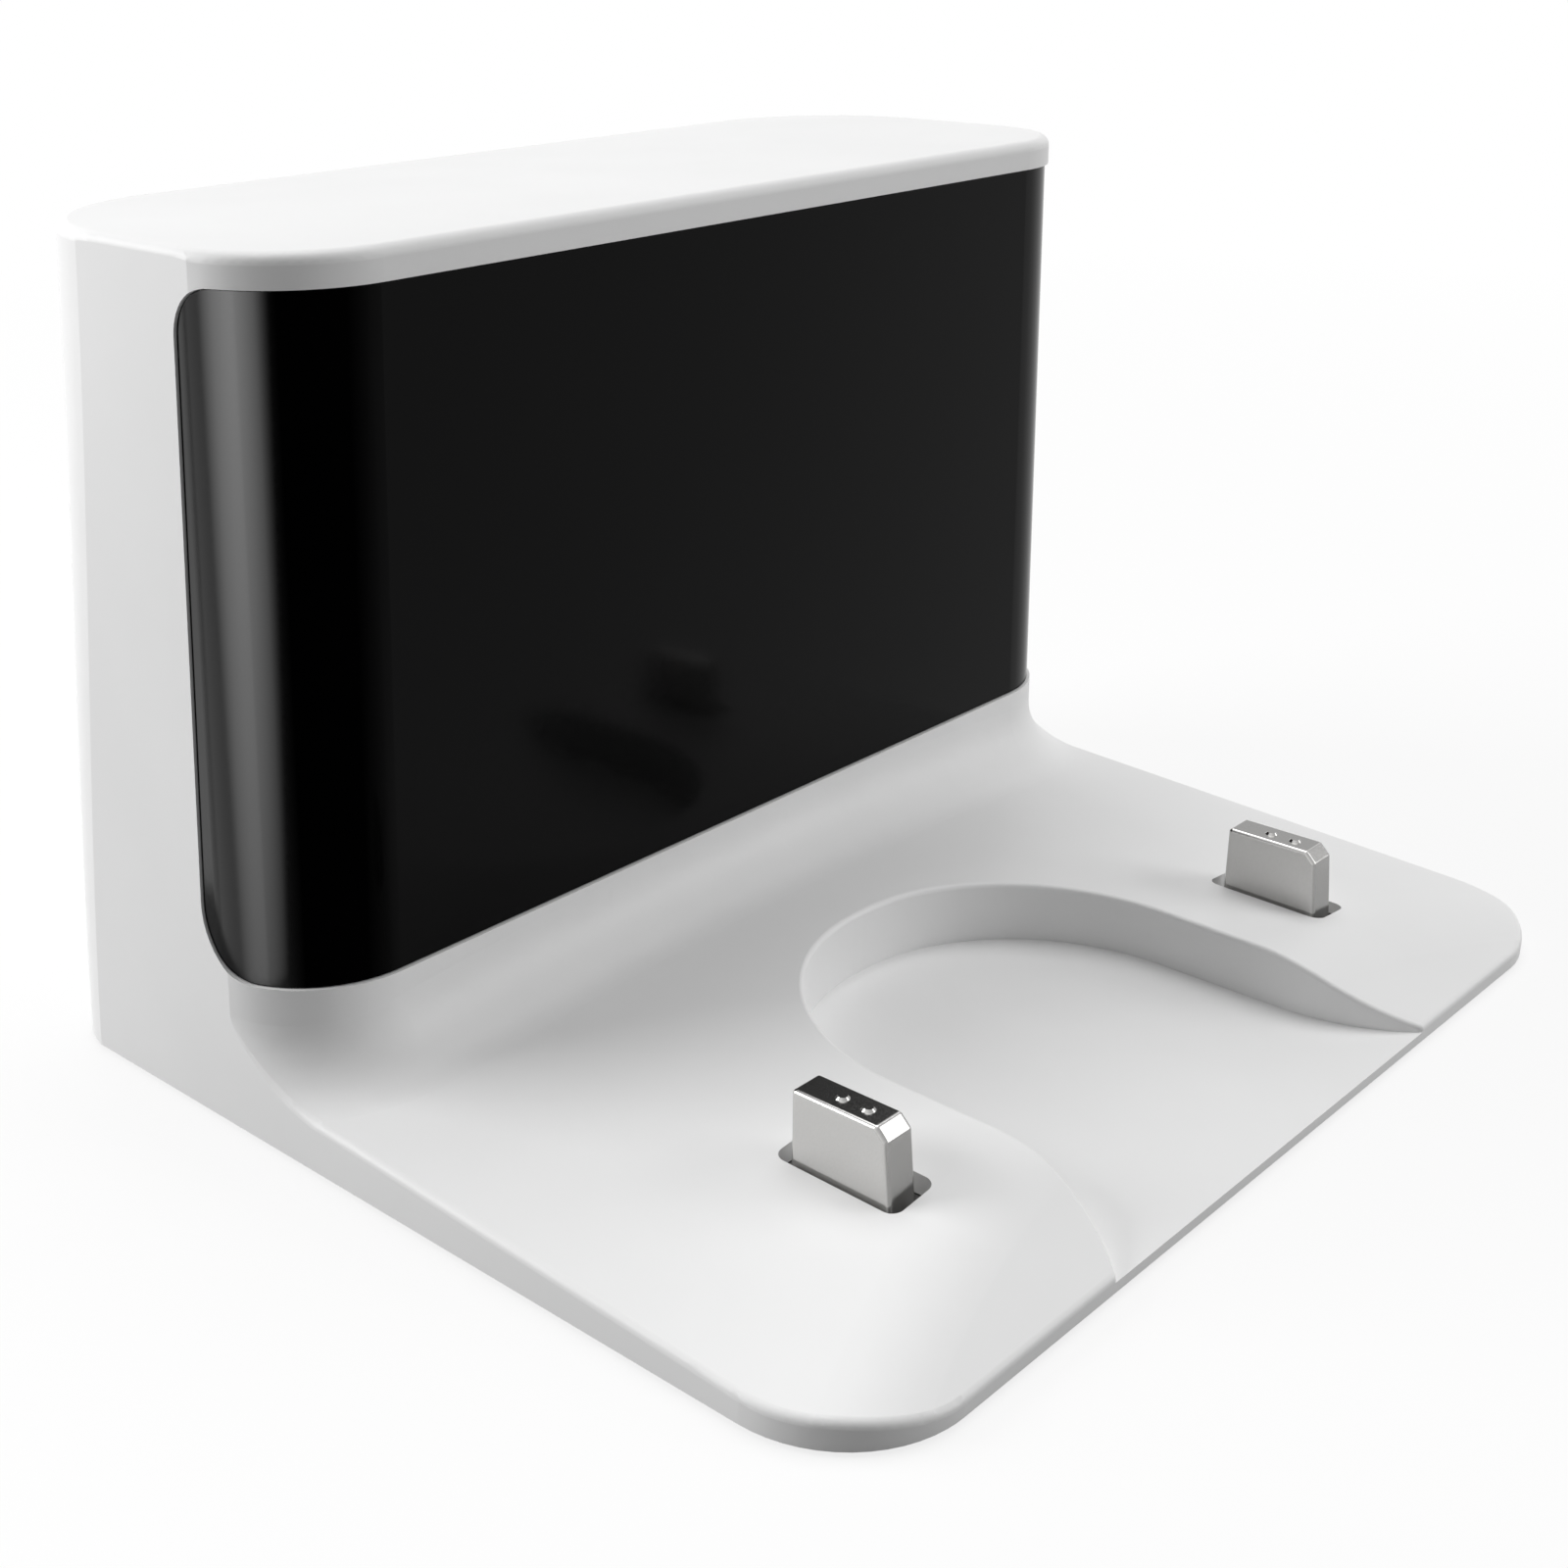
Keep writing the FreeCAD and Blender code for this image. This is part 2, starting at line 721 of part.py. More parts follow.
def rear_cover():
    """Snap-in cover over the cord tray, with a finger grip and two cord exits."""
    half = opening_half - cover_gap
    low = opening_bottom + cover_gap
    high = opening_top - cover_gap
    inner = rear_y - cover_thickness
    panel = rounded_panel(-half, half, low, high, inner, rear_y, opening_radius - cover_gap)
    grip = rod(2 * grip_half, Vector(0, inner - over, high + grip_half - grip_depth), Vector(0, 1, 0), slack)
    panel = panel.cut(grip)
    for side in (-1, 1):
        x0 = side * exit_x - exit_width / 2
        slot = rounded_panel(x0, x0 + exit_width, low - exit_height, low + exit_height,
                             inner - over, rear_y + over, exit_width / 2 - cover_gap)
        panel = panel.cut(slot)
    pieces = [panel]
    clear = tray_gap + tray_wall + cover_gap
    for x in (-opening_half / 2, opening_half / 2):
        foot = opening_bottom + clear
        pieces.append(box(x - clip_half, x + clip_half, inner - clip_length, inner + clip_root,
                          foot, foot + clip_thickness))
        roof = opening_top - clear
        pieces.append(box(x - clip_half, x + clip_half, inner - clip_length, inner + clip_root,
                          roof - clip_thickness, roof))
    return fuse_all(pieces)


def inlet_socket():
    """Two-pin mains inlet in the wall of the cord tray."""
    face = tray_front + tray_wall
    front = face - inlet_depth
    half_x = inlet_width / 2
    half_z = inlet_height / 2
    shell = rounded_panel(inlet_x - half_x, inlet_x + half_x, inlet_z - half_z, inlet_z + half_z,
                          front, face + inlet_flange_thickness / 2, half_z - tray_gap)
    wide = half_x + inlet_flange
    tall = half_z + inlet_flange
    flange = rounded_panel(inlet_x - wide, inlet_x + wide, inlet_z - tall, inlet_z + tall,
                           face, face + inlet_flange_thickness, half_z)
    solid = fuse_all([shell, flange])
    mouth = face + inlet_flange_thickness
    solid = solid.cut(rounded_panel(inlet_x - mouth_width / 2, inlet_x + mouth_width / 2,
                                    inlet_z - mouth_height / 2, inlet_z + mouth_height / 2,
                                    mouth - mouth_depth, mouth + over, mouth_height / 2 - tray_gap))
    for place in inlet_pin_places():
        solid = solid.cut(rod(pin_diameter, place, Vector(0, -1, 0), inlet_depth))
    return solid


def inlet_pin_places():
    """Where the two pins leave the floor of the inlet's mouth."""
    floor = tray_front + tray_wall + inlet_flange_thickness - mouth_depth
    return [Vector(inlet_x + side * pin_spacing / 2, floor, inlet_z) for side in (-1, 1)]


def inlet_pins():
    """The two round pins of the inlet, with their solder tails."""
    pins = []
    tail = tray_front + tray_wall - inlet_depth - tab_length
    for place in inlet_pin_places():
        start = Vector(place.x, tail, place.z)
        pins.append(rod(pin_diameter, start, Vector(0, 1, 0), place.y - tail + pin_length))
    return Part.makeCompound(pins)


def mains_strips():
    """Two flat strips from the inlet's tails to the power board."""
    strips = []
    tail = tray_front + tray_wall - inlet_depth - tab_length
    for place, z in zip(inlet_pin_places(), (inlet_z - inlet_height / 2, inlet_z)):
        y1 = tail
        y0 = y1 - tab_thickness
        left = power_right - 2 * tab_width
        upright = box(place.x - tab_width / 2, place.x + tab_width / 2, y0, y1,
                      z - tab_width / 2, place.z + tab_width / 2)
        across = box(left, place.x + tab_width / 2, y0, y1, z - tab_width / 2, z + tab_width / 2)
        down = box(left, left + tab_thickness, y0, board_front, z - tab_width / 2, z + tab_width / 2)
        strips.append(fuse_all([upright, across, down]))
    return Part.makeCompound(strips)


def board_screw_places():
    """Places of the board screws, on the front faces of the two boards."""
    places = []
    for x, z in ((power_left + post_inset, power_bottom + post_inset + strip_width),
                 (power_left + post_inset, power_top - post_inset),
                 (power_right - post_inset, power_top - post_inset)):
        places.append(Vector(x, board_front, z))
    for side in (-1, 1):
        places.append(Vector(side * emitter_post_x, emitter_board_y, emitter_post_z))
    return places


def drilled(board):
    """Board with its screw holes."""
    hole = screw_diameter + 2 * screw_hole_gap
    for place in board_screw_places():
        board = board.cut(rod(hole, place - Vector(0, over, 0), Vector(0, 1, 0), board_thickness + 2 * over))
    return board


def power_board():
    """Circuit board of the mains supply."""
    return drilled(box(power_left, power_right, board_front, board_front + board_thickness,
                       power_bottom, power_top))


def ir_board():
    """Circuit board of the infrared beacon, behind the window."""
    return drilled(box(-emitter_half, emitter_half, emitter_board_y, emitter_board_y + board_thickness,
                       emitter_bottom, emitter_top))


def ir_emitters():
    """Three round infrared lamps on the beacon board."""
    lamps = []
    for step in (-1, 0, 1):
        centre = Vector(step * emitter_pitch, emitter_board_y, emitter_z)
        lamp = rod(emitter_diameter, centre, Vector(0, -1, 0), emitter_length)
        tip = centre - Vector(0, emitter_length, 0)
        lamps.append(lamp.fuse(Part.makeSphere(emitter_diameter / 2, tip)).removeSplitter())
    trim = box(-width, width, 0, emitter_board_y, 0, height)
    return Part.makeCompound([lamp.common(trim) for lamp in lamps])


def board_ribbon():
    """Flat cable between the two boards."""
    y0 = emitter_board_y + board_thickness
    y1 = board_front
    z0 = emitter_bottom + ribbon_inset
    z1 = power_top - ribbon_inset
    t = ribbon_thickness
    outline = [(y0, z0 + t), (y0, z0), ((y0 + y1) / 2 - t, z0), ((y0 + y1) / 2 - t, z1), (y1, z1)]
    outline += [(y1, z1 + t), ((y0 + y1) / 2, z1 + t), ((y0 + y1) / 2, z0 + t)]
    return prism([Vector(-ribbon_width / 2, y, z) for y, z in outline], Vector(ribbon_width, 0, 0))


def on_board(across, rise, size):
    """Block standing on the front of the power board."""
    wide, tall, deep = size
    x = power_left + across
    z = power_bottom + rise
    return box(x - wide / 2, x + wide / 2, board_front - deep, board_front, z - tall / 2, z + tall / 2)


def can(across, rise, diameter, length):
    """Round can standing on the front of the power board."""
    return rod(diameter, Vector(power_left + across, board_front, power_bottom + rise), Vector(0, -1, 0), length)


def transformer():
    """Switching transformer: ferrite core round a taller wound bobbin."""
    return fuse_all([on_board(transformer_x, transformer_rise, transformer_core),
                     on_board(transformer_x, transformer_rise, transformer_coil)])


def choke_coil():
    """Mains choke wound on a waisted bobbin."""
    rim = can(choke_x, choke_rise, choke_diameter, choke_rim)
    waist = can(choke_x, choke_rise, choke_waist, choke_length)
    cap = rim.copy()
    cap.translate(Vector(0, choke_rim - choke_length, 0))
    return fuse_all([rim, waist, cap])


def heat_sink():
    """Finned heat sink of the switching transistor."""
    pieces = [on_board(sink_x, sink_rise, (sink_width, sink_web, sink_depth))]
    pitch = (sink_width - sink_fin) / (sink_fins - 1)
    for number in range(sink_fins):
        across = sink_x - sink_width / 2 + sink_fin / 2 + number * pitch
        pieces.append(on_board(across, sink_rise, (sink_fin, sink_height, sink_depth)))
    return fuse_all(pieces)


def fuse_link():
    """Mains fuse lying on the board."""
    x = power_left + fuse_x - fuse_length / 2
    start = Vector(x, board_front - fuse_diameter / 2, power_bottom + fuse_rise)
    return rod(fuse_diameter, start, Vector(1, 0, 0), fuse_length)


def foot_places():
    """Names and places of the four rubber feet."""
    return {
        "front_left_foot": (-front_foot_x, front_foot_y),
        "front_right_foot": (front_foot_x, front_foot_y),
        "rear_left_foot": (-rear_foot_x, rear_foot_y),
        "rear_right_foot": (rear_foot_x, rear_foot_y),
    }


def all_parts():
    """Every piece of the dock by name."""
    parts = {
        "main_housing": main_housing(),
        "front_window": front_window(),
        "base_plate": base_plate(),
        "rear_cover": rear_cover(),
        "cord_tray": cord_tray(),
        "inlet_socket": inlet_socket(),
        "inlet_pins": inlet_pins(),
        "mains_strips": mains_strips(),
        "left_contact": contact(-1),
        "right_contact": contact(1),
        "left_contact_spring": contact_spring(-1),
        "right_contact_spring": contact_spring(1),
        "left_contact_strip": contact_strip(-1),
        "right_contact_strip": contact_strip(1),
        "power_board": power_board(),
        "ir_board": ir_board(),
        "ir_emitters": ir_emitters(),
        "board_ribbon": board_ribbon(),
        "transformer": transformer(),
        "bulk_capacitor": can(bulk_x, bulk_rise, bulk_diameter, bulk_length),
        "smoothing_capacitor": can(smoothing_x, smoothing_rise, smoothing_diameter, smoothing_length),
        "choke_coil": choke_coil(),
        "heat_sink": heat_sink(),
        "fuse_link": fuse_link(),
    }
    screws = [countersunk_screw(place, 0) for place in base_screw_places()]
    parts["base_screws"] = Part.makeCompound(screws)
    screws = [pan_screw(place, Vector(0, 1, 0), tray_screw_length) for place in tray_screw_places()]
    parts["tray_screws"] = Part.makeCompound(screws)
    screws = [pan_screw(place, Vector(0, 1, 0), board_screw_length) for place in board_screw_places()]
    parts["board_screws"] = Part.makeCompound(screws)
    for name, (x, y) in foot_places().items():
        parts[name] = rod(foot_diameter, Vector(x, y, 0), Vector(0, 0, 1), foot_proud + foot_sink)
    return parts


os.makedirs("parts", exist_ok=True)
for name, shape in all_parts().items():
    shape.exportStep("parts/" + name + ".step")
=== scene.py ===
"""Looks, light and camera for the robot vacuum charging dock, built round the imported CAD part."""

import math

import bpy
from mathutils import Matrix, Vector


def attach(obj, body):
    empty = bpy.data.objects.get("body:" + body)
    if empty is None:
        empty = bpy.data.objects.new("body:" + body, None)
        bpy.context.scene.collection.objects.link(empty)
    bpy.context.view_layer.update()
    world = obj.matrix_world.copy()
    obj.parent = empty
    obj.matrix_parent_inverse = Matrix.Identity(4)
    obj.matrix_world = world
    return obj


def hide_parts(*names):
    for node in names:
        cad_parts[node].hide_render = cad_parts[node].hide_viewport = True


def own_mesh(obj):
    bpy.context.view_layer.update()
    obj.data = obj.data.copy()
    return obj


MM = 0.001

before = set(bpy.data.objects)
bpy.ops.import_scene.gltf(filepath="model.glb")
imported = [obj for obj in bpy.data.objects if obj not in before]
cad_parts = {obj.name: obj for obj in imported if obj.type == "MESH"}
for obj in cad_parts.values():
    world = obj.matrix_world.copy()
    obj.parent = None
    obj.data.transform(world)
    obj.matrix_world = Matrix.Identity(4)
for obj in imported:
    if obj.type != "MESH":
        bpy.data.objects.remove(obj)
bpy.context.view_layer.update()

# Camera, fitted to the photograph's perspective
IMAGE_SIZE = 1600
FOCAL_PIXELS = 2222.9
SENSOR_MM = 36.0
AXIS_PIXEL = (683.0, 763.0)
CAMERA_AZIMUTH = math.radians(-46.792)
CAMERA_ELEVATION = math.radians(22.023)
CAMERA_ROLL = math.radians(-0.437)
CAMERA_AIM = Vector((0.0, 0.0, 45.5)) * MM
CAMERA_DISTANCE = 268.76 * MM
CAMERA_OFFSET = (-21.015 * MM, -12.313 * MM)
CLIP_START = 0.01

# Backdrop and floor: the light they throw back, and how far and how strongly the floor shows shade
SKY_FILL = 0.16
FLOOR_FILL = 0.26
FLOOR_PAPER = 0.9
FLOOR_SHADE = 0.24
SHADE_REACH = 0.6
FLOOR_SIZE = 6.0

# Point that the soft lamps are aimed at
LAMP_AIM = (0, 0, 0.03)

# Part of a noise texture's range that is used
NOISE_LOW = 0.3
NOISE_HIGH = 0.7

# Depth of the surface grain, and how far roughness strays: by an amount in plastic, by a share in metal
PLASTIC_RELIEF = 0.05 * MM
METAL_RELIEF = 0.02 * MM
PLASTIC_STRAY = 0.04
METAL_STRAY = 0.2

# The window's gloss against the sine of its turn from the front to the left
WINDOW_GLOSS = ((0.0, 0.06), (0.10, 0.035), (0.28, 0.0), (0.70, 0.0), (0.80, 0.06))

# Painted shade on the contacts' front and top faces, darker by which way they face: the axis they face,
# the normal along it where the painted shade starts and where it is full, and the share of the colour
# that is left
CONTACT_PAINTED_SHADE = (("Y", -0.3, -0.7, 0.57), ("Z", 0.94, 0.99, 0.50))

# Circuit board: bricks to the metre, width of the traces between them, and colours
BOARD_SCALE = 90
TRACE_WIDTH = 0.03
BOARD_GREENS = ((0.018, 0.13, 0.045, 1), (0.022, 0.15, 0.05, 1))
TRACE_GREEN = (0.05, 0.24, 0.09, 1)
BOARD_ROUGHNESS = 0.3

# Which material each CAD node wears
WHITE_NODES = ("main_housing", "base_plate", "rear_cover")
WINDOW_NODES = ("front_window",)
PLATED_NODES = ("left_contact", "right_contact", "inlet_pins")
GREY_NODES = ("cord_tray", "board_ribbon")
BLACK_NODES = ("inlet_socket", "fuse_link")
BRASS_NODES = ("left_contact_strip", "right_contact_strip", "mains_strips")
STEEL_NODES = (
    "left_contact_spring", "right_contact_spring", "base_screws", "tray_screws", "board_screws",
)
BOARD_NODES = ("power_board", "ir_board")
LAMP_NODES = ("ir_emitters",)
FERRITE_NODES = ("transformer", "choke_coil")
SLEEVE_NODES = ("bulk_capacitor", "smoothing_capacitor")
SINK_NODES = ("heat_sink",)
RUBBER_NODES = ("front_left_foot", "front_right_foot", "rear_left_foot", "rear_right_foot")

# Which joint presses each contact spring flat
SPRING_JOINTS = {
    "left_contact_spring": "left_contact_press",
    "right_contact_spring": "right_contact_press",
}


def new_material(name):
    """Material with an empty node tree, a Principled shader and its output."""
    material = bpy.data.materials.new(name)
    material.use_nodes = True
    tree = material.node_tree
    tree.nodes.clear()
    output = tree.nodes.new("ShaderNodeOutputMaterial")
    shader = tree.nodes.new("ShaderNodeBsdfPrincipled")
    tree.links.new(shader.outputs["BSDF"], output.inputs["Surface"])
    return material, tree, shader


def noise(tree, scale, detail, stretch=(1, 1, 1)):
    """Noise in the object's own space, in metres; returns its value."""
    place = tree.nodes.new("ShaderNodeTexCoord")
    mapping = tree.nodes.new("ShaderNodeMapping")
    mapping.inputs["Scale"].default_value = stretch
    texture = tree.nodes.new("ShaderNodeTexNoise")
    texture.inputs["Scale"].default_value = scale
    texture.inputs["Detail"].default_value = detail
    tree.links.new(place.outputs["Object"], mapping.inputs["Vector"])
    tree.links.new(mapping.outputs["Vector"], texture.inputs["Vector"])
    return texture.outputs["Fac"]


def spread(tree, value, low, high):
    """Noise value brought between two limits."""
    node = tree.nodes.new("ShaderNodeMapRange")
    node.inputs["From Min"].default_value = NOISE_LOW
    node.inputs["From Max"].default_value = NOISE_HIGH
    node.inputs["To Min"].default_value = low
    node.inputs["To Max"].default_value = high
    tree.links.new(value, node.inputs["Value"])
    return node.outputs["Result"]


def tint(tree, value, dark, light):
    """Colour between two shades, by a noise value."""
    ramp = tree.nodes.new("ShaderNodeValToRGB")
    ramp.color_ramp.elements[0].position = NOISE_LOW
    ramp.color_ramp.elements[1].position = NOISE_HIGH
    ramp.color_ramp.elements[0].color = (*dark, 1)
    ramp.color_ramp.elements[1].color = (*light, 1)
    tree.links.new(value, ramp.inputs["Fac"])
    return ramp.outputs["Color"]


def grain(tree, shader, value, strength, depth):
    """Fine relief on the shader's normal."""
    bump = tree.nodes.new("ShaderNodeBump")
    bump.inputs["Strength"].default_value = strength
    bump.inputs["Distance"].default_value = depth
    tree.links.new(value, bump.inputs["Height"])
    tree.links.new(bump.outputs["Normal"], shader.inputs["Normal"])


def plastic(name, dark, light, rough, pore, strength, gloss=0.5):
    """Moulded plastic with a little unevenness in tone and gloss and a fine spark-eroded grain."""
    material, tree, shader = new_material(name)
    shader.inputs["Specular IOR Level"].default_value = gloss
    slow = noise(tree, scale=35, detail=3)
    fine = noise(tree, scale=pore, detail=2)
    sheen = spread(tree, fine, rough - PLASTIC_STRAY, rough + PLASTIC_STRAY)
    tree.links.new(tint(tree, slow, dark, light), shader.inputs["Base Color"])
    tree.links.new(sheen, shader.inputs["Roughness"])
    grain(tree, shader, fine, strength, PLASTIC_RELIEF)
    return material


def metal(name, dark, light, rough, stretch, scale=900, strength=0.04, painted_shade_faces=()):
    """Bare or plated metal with drawn lines, a slightly uneven polish and painted shade on the faces
    given.
    """
    material, tree, shader = new_material(name)
    lines = noise(tree, scale, 3, stretch)
    sheen = spread(tree, lines, rough * (1 - METAL_STRAY), rough * (1 + METAL_STRAY))
    shader.inputs["Metallic"].default_value = 1.0
    tree.links.new(tint(tree, lines, dark, light), shader.inputs["Base Color"])
    tree.links.new(sheen, shader.inputs["Roughness"])
    grain(tree, shader, lines, strength, METAL_RELIEF)
    for axis, start, end, share in painted_shade_faces:
        paint_face_shade(tree, shader, axis, start, end, share)
    return material


def paint_face_shade(tree, shader, axis, start, end, share):
    """Painted shade: darkens the colour to a share as the normal along an axis goes from start to end.
    """
    bright = shader.inputs["Base Color"].links[0].from_socket
    place = tree.nodes.new("ShaderNodeTexCoord")
    split = tree.nodes.new("ShaderNodeSeparateXYZ")
    shading = tree.nodes.new("ShaderNodeMapRange")
    shading.inputs["From Min"].default_value = start
    shading.inputs["From Max"].default_value = end
    shading.inputs["To Min"].default_value = 1.0
    shading.inputs["To Max"].default_value = share
    darker = tree.nodes.new("ShaderNodeVectorMath")
    darker.operation = "SCALE"
    tree.links.new(place.outputs["Normal"], split.inputs["Vector"])
    tree.links.new(split.outputs[axis], shading.inputs["Value"])
    tree.links.new(bright, darker.inputs["Vector"])
    tree.links.new(shading.outputs["Result"], darker.inputs["Scale"])
    tree.links.new(darker.outputs["Vector"], shader.inputs["Base Color"])


def bend_gloss(tree):
    """Gloss of the window, which fades on its left front bend."""
    place = tree.nodes.new("ShaderNodeTexCoord")
    split = tree.nodes.new("ShaderNodeSeparateXYZ")
    left = tree.nodes.new("ShaderNodeMath")
    left.operation = "MULTIPLY"
    left.inputs[1].default_value = -1.0
    ramp = tree.nodes.new("ShaderNodeValToRGB")
    stops = ramp.color_ramp.elements
    while len(stops) < len(WINDOW_GLOSS):
        stops.new(1.0)
    for stop, (turn, gloss) in zip(stops, WINDOW_GLOSS):
        stop.position = turn
        stop.color = (gloss, gloss, gloss, 1)
    tree.links.new(place.outputs["Normal"], split.inputs["Vector"])
    tree.links.new(split.outputs["X"], left.inputs[0])
    tree.links.new(left.outputs["Value"], ramp.inputs["Fac"])
    return ramp.outputs["Color"]


def window_plastic(dark, light, rough_low, rough_high):
    """Polished dark infrared window, with faint waviness from the moulding."""
    material, tree, shader = new_material("window_plastic")
    slow = noise(tree, scale=20, detail=2)
    fine = noise(tree, scale=1500, detail=2)
    tree.links.new(tint(tree, slow, dark, light), shader.inputs["Base Color"])
    tree.links.new(spread(tree, fine, rough_low, rough_high), shader.inputs["Roughness"])
    tree.links.new(bend_gloss(tree), shader.inputs["Specular IOR Level"])
    grain(tree, shader, slow, 0.02, PLASTIC_RELIEF)
    return material


def board_laminate():
    """Green lacquered circuit board with paler traces showing through."""
    material, tree, shader = new_material("board_laminate")
    place = tree.nodes.new("ShaderNodeTexCoord")
    brick = tree.nodes.new("ShaderNodeTexBrick")
    brick.inputs["Scale"].default_value = BOARD_SCALE
    brick.inputs["Mortar Size"].default_value = TRACE_WIDTH
    brick.inputs["Color1"].default_value = BOARD_GREENS[0]
    brick.inputs["Color2"].default_value = BOARD_GREENS[1]
    brick.inputs["Mortar"].default_value = TRACE_GREEN
    swap = tree.nodes.new("ShaderNodeMapping")
    swap.inputs["Rotation"].default_value = (math.radians(90), 0, 0)
    tree.links.new(place.outputs["Object"], swap.inputs["Vector"])
    tree.links.new(swap.outputs["Vector"], brick.inputs["Vector"])
    tree.links.new(brick.outputs["Color"], shader.inputs["Base Color"])
    shader.inputs["Roughness"].default_value = BOARD_ROUGHNESS
    grain(tree, shader, brick.outputs["Fac"], 0.1, PLASTIC_RELIEF)
    return material


def dress(nodes, material):
    """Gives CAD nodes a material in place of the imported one."""
    for name in nodes:
        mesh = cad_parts[name].data
        mesh.materials.clear()
        mesh.materials.append(material)


def dress_all():
    """Every CAD node gets its own kind of material."""
    dress(WHITE_NODES, plastic(
        "white_plastic", dark=(0.84, 0.84, 0.84), light=(0.87, 0.87, 0.87),
        rough=0.48, pore=2600, strength=0.05, gloss=0.35))
    dress(WINDOW_NODES, window_plastic(
        dark=(0.0006, 0.0006, 0.0007), light=(0.0014, 0.0013, 0.0014),
        rough_low=0.09, rough_high=0.13))
    # The plated contacts get painted shade on their front and top faces.
    dress(PLATED_NODES, metal(
        "plated_metal", dark=(0.53, 0.525, 0.515), light=(0.57, 0.565, 0.555),
        rough=0.20, stretch=(1, 2, 1), scale=3000, strength=0.01, painted_shade_faces=CONTACT_PAINTED_SHADE))
    dress(GREY_NODES, plastic(
        "grey_plastic", dark=(0.50, 0.50, 0.51), light=(0.56, 0.56, 0.57),
        rough=0.5, pore=2200, strength=0.08))
    dress(BLACK_NODES, plastic(
        "black_plastic", dark=(0.018, 0.018, 0.018), light=(0.03, 0.03, 0.03),
        rough=0.45, pore=2200, strength=0.08))
    dress(BRASS_NODES, metal(
        "strip_brass", dark=(0.66, 0.48, 0.20), light=(0.78, 0.60, 0.28),
        rough=0.28, stretch=(1, 8, 1)))
    dress(STEEL_NODES, metal(
        "zinc_steel", dark=(0.42, 0.42, 0.43), light=(0.54, 0.54, 0.55),
        rough=0.32, stretch=(1, 4, 1)))
    dress(BOARD_NODES, board_laminate())
    dress(LAMP_NODES, plastic(
        "lamp_resin", dark=(0.03, 0.025, 0.05), light=(0.045, 0.035, 0.07),
        rough=0.12, pore=600, strength=0.01))
    dress(FERRITE_NODES, plastic(
        "ferrite", dark=(0.035, 0.035, 0.035), light=(0.06, 0.055, 0.05),
        rough=0.6, pore=3000, strength=0.15))
    dress(SLEEVE_NODES, plastic(
        "capacitor_sleeve", dark=(0.015, 0.02, 0.06), light=(0.02, 0.03, 0.09),
        rough=0.25, pore=800, strength=0.03))
    dress(SINK_NODES, metal(
        "sink_aluminium", dark=(0.62, 0.63, 0.64), light=(0.74, 0.75, 0.76),
        rough=0.35, stretch=(1, 1, 10)))
    dress(RUBBER_NODES, plastic(
        "foot_rubber", dark=(0.03, 0.03, 0.03), light=(0.05, 0.05, 0.05),
        rough=0.75, pore=2500, strength=0.2))


def make_springs():
    """Copies each contact spring into a leaf object of its own on the dock body and hides the imported
    spring.
    """
    for node, joint in SPRING_JOINTS.items():
        leaf = bpy.data.objects.new(node + "_leaf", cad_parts[node].data.copy())
        bpy.context.scene.collection.objects.link(leaf)
        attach(leaf, "dock")
        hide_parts(node)
        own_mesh(leaf)


def shown_rays(tree):
    """1 for rays that show a background: from the camera, mirrored or let through."""
    path = tree.nodes.new("ShaderNodeLightPath")
    total = path.outputs["Is Camera Ray"]
    for name in ("Is Glossy Ray", "Is Transmission Ray"):
        higher = tree.nodes.new("ShaderNodeMath")
        higher.operation = "MAXIMUM"
        tree.links.new(total, higher.inputs[0])
        tree.links.new(path.outputs[name], higher.inputs[1])
        total = higher.outputs[0]
    return total


def floor_shade(tree):
    """Share of real shading that the floor shows, which fades to nothing away from the dock."""
    place = tree.nodes.new("ShaderNodeTexCoord")
    mapping = tree.nodes.new("ShaderNodeMapping")
    mapping.inputs["Scale"].default_value = (1 / SHADE_REACH, 1 / SHADE_REACH, 1)
    fading = tree.nodes.new("ShaderNodeTexGradient")
    fading.gradient_type = "SPHERICAL"
    shade = tree.nodes.new("ShaderNodeMath")
    shade.operation = "MULTIPLY"
    shade.inputs[1].default_value = FLOOR_SHADE
    tree.links.new(place.outputs["Object"], mapping.inputs["Vector"])
    tree.links.new(mapping.outputs["Vector"], fading.inputs["Vector"])
    tree.links.new(fading.outputs["Fac"], shade.inputs[0])
    return shade.outputs["Value"]


def make_floor():
    """Plain pale floor that looks white, keeps a soft shadow near the dock and throws little back."""
    bpy.ops.mesh.primitive_plane_add(size=FLOOR_SIZE)
    floor = bpy.context.object
    floor.name = "floor"
    material = bpy.data.materials.new("floor_white")
    material.use_nodes = True
    tree = material.node_tree
    tree.nodes.clear()
    output = tree.nodes.new("ShaderNodeOutputMaterial")
    white = tree.nodes.new("ShaderNodeEmission")
    paper = tree.nodes.new("ShaderNodeBsdfDiffuse")
    paper.inputs["Color"].default_value = (FLOOR_PAPER, FLOOR_PAPER, FLOOR_PAPER, 1)
    grey = tree.nodes.new("ShaderNodeBsdfDiffuse")
    grey.inputs["Color"].default_value = (FLOOR_FILL, FLOOR_FILL, FLOOR_FILL, 1)
    seen = tree.nodes.new("ShaderNodeMixShader")
    tree.links.new(floor_shade(tree), seen.inputs["Fac"])
    tree.links.new(white.outputs["Emission"], seen.inputs[1])
    tree.links.new(paper.outputs["BSDF"], seen.inputs[2])
    choose = tree.nodes.new("ShaderNodeMixShader")
    tree.links.new(shown_rays(tree), choose.inputs["Fac"])
    tree.links.new(grey.outputs["BSDF"], choose.inputs[1])
    tree.links.new(seen.outputs["Shader"], choose.inputs[2])
    tree.links.new(choose.outputs["Shader"], output.inputs["Surface"])
    floor.data.materials.append(material)


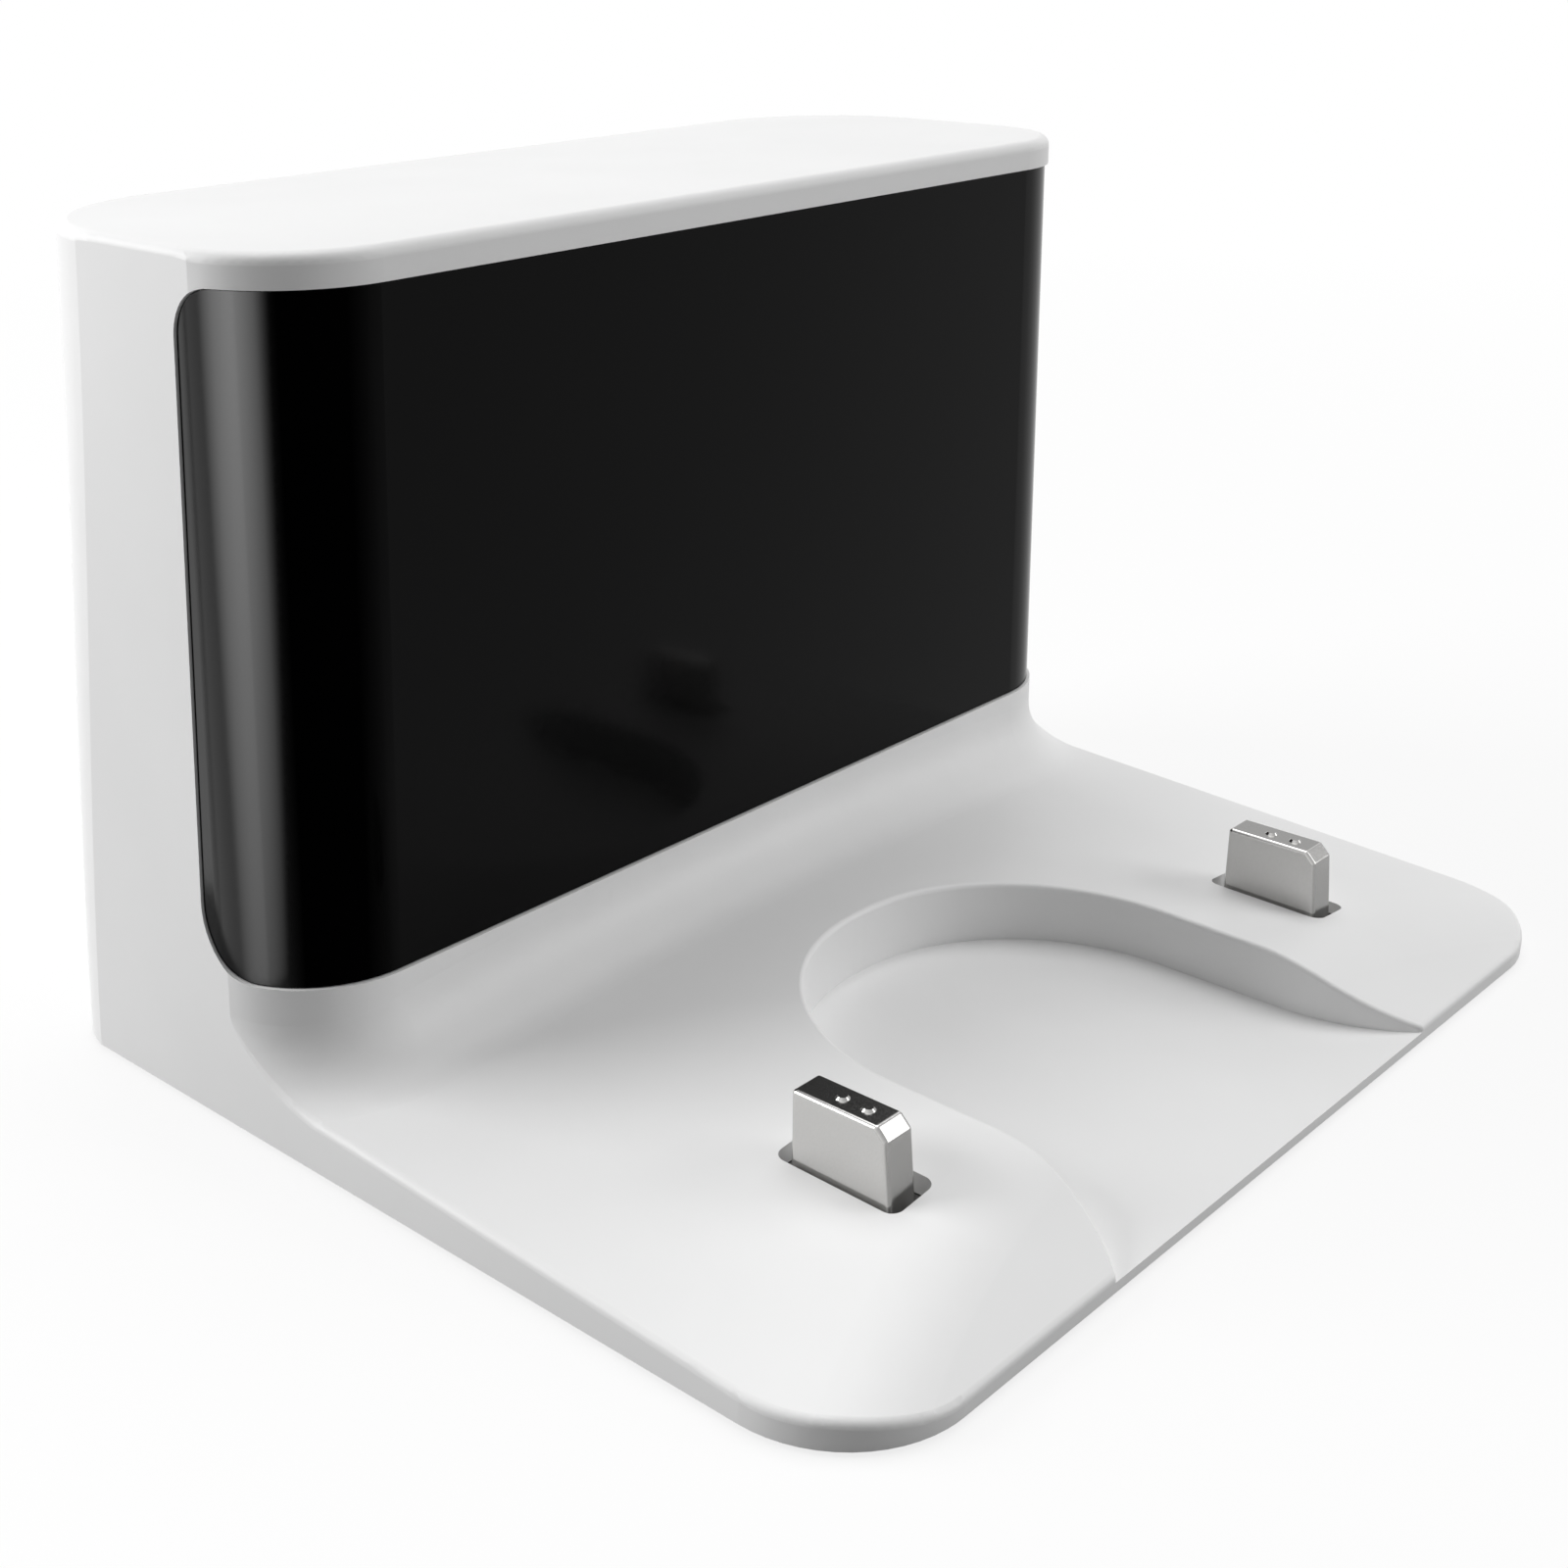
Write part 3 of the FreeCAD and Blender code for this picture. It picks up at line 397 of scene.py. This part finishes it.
def make_world():
    """White backdrop that lights the object only as a dim even fill."""
    world = bpy.data.worlds.new("studio")
    bpy.context.scene.world = world
    world.use_nodes = True
    tree = world.node_tree
    tree.nodes.clear()
    output = tree.nodes.new("ShaderNodeOutputWorld")
    fill = tree.nodes.new("ShaderNodeBackground")
    fill.inputs["Color"].default_value = (SKY_FILL, SKY_FILL, SKY_FILL, 1)
    white = tree.nodes.new("ShaderNodeBackground")
    white.inputs["Color"].default_value = (1, 1, 1, 1)
    choose = tree.nodes.new("ShaderNodeMixShader")
    tree.links.new(shown_rays(tree), choose.inputs["Fac"])
    tree.links.new(fill.outputs["Background"], choose.inputs[1])
    tree.links.new(white.outputs["Background"], choose.inputs[2])
    tree.links.new(choose.outputs["Shader"], output.inputs["Surface"])


def softbox(name, place, target, size, power, gloss_only=False, cone=180):
    """Rectangular soft lamp aimed at a point; a narrow cone lights only what it faces."""
    data = bpy.data.lights.new(name, "AREA")
    data.shape = "RECTANGLE"
    data.size, data.size_y = size
    data.energy = power
    data.spread = math.radians(cone)
    lamp = bpy.data.objects.new(name, data)
    bpy.context.scene.collection.objects.link(lamp)
    lamp.location = place
    lamp.rotation_euler = (Vector(target) - Vector(place)).to_track_quat("-Z", "Y").to_euler()
    lamp.visible_camera = False
    lamp.visible_diffuse = not gloss_only
    return lamp


def shine_only_on(lamp, nodes):
    """Lets a lamp reach only the given CAD nodes."""
    group = bpy.data.collections.new(lamp.name + "_receivers")
    for name in nodes:
        group.objects.link(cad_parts[name])
    lamp.light_linking.receiver_collection = group


def make_lights():
    """Three soft lamps round the dock, and two cards mirrored in the window's left corner."""
    softbox(
        "overhead", place=(0.80, 0.45, 3.20), target=LAMP_AIM, size=(2.8, 2.4), power=66.0)
    softbox(
        "rear_left", place=(-0.48, 0.52, 0.31), target=LAMP_AIM, size=(0.44, 0.4), power=4.5)
    softbox(
        "front_right", place=(0.55, -0.65, 0.35), target=LAMP_AIM, size=(0.5, 0.4), power=2.75)
    strip = softbox(
        "strip", place=(-0.115, 0.025, 0.05), target=(-0.07, 0.025, 0.05),
        size=(0.11, 0.10), power=0.15, gloss_only=True, cone=65)
    card = softbox(
        "card", place=(-0.115, 0.11, 0.05), target=(-0.07, 0.11, 0.05),
        size=(0.18, 0.10), power=0.20, gloss_only=True)
    shine_only_on(strip, WINDOW_NODES)
    shine_only_on(card, WINDOW_NODES)


def make_camera():
    """Camera where the photograph was taken from."""
    back = Vector((math.sin(CAMERA_AZIMUTH) * math.cos(CAMERA_ELEVATION),
                   -math.cos(CAMERA_AZIMUTH) * math.cos(CAMERA_ELEVATION),
                   math.sin(CAMERA_ELEVATION)))
    right = Vector((0, 0, 1)).cross(back).normalized()
    up = back.cross(right)
    across = right * math.cos(CAMERA_ROLL) + up * math.sin(CAMERA_ROLL)
    upward = up * math.cos(CAMERA_ROLL) - right * math.sin(CAMERA_ROLL)
    aside = across * CAMERA_OFFSET[0] + upward * CAMERA_OFFSET[1]
    place = CAMERA_AIM + back * CAMERA_DISTANCE + aside
    data = bpy.data.cameras.new("camera")
    data.sensor_width = SENSOR_MM
    data.lens = FOCAL_PIXELS / IMAGE_SIZE * SENSOR_MM
    data.shift_x = (IMAGE_SIZE / 2 - AXIS_PIXEL[0]) / IMAGE_SIZE
    data.shift_y = (AXIS_PIXEL[1] - IMAGE_SIZE / 2) / IMAGE_SIZE
    data.clip_start = CLIP_START
    camera = bpy.data.objects.new("camera", data)
    bpy.context.scene.collection.objects.link(camera)
    turn = Matrix((across, upward, back)).transposed().to_4x4()
    camera.matrix_world = Matrix.Translation(place) @ turn
    bpy.context.scene.camera = camera


dress_all()
make_springs()
make_floor()
make_world()
make_lights()
make_camera()
bpy.context.scene.view_settings.view_transform = "Standard"
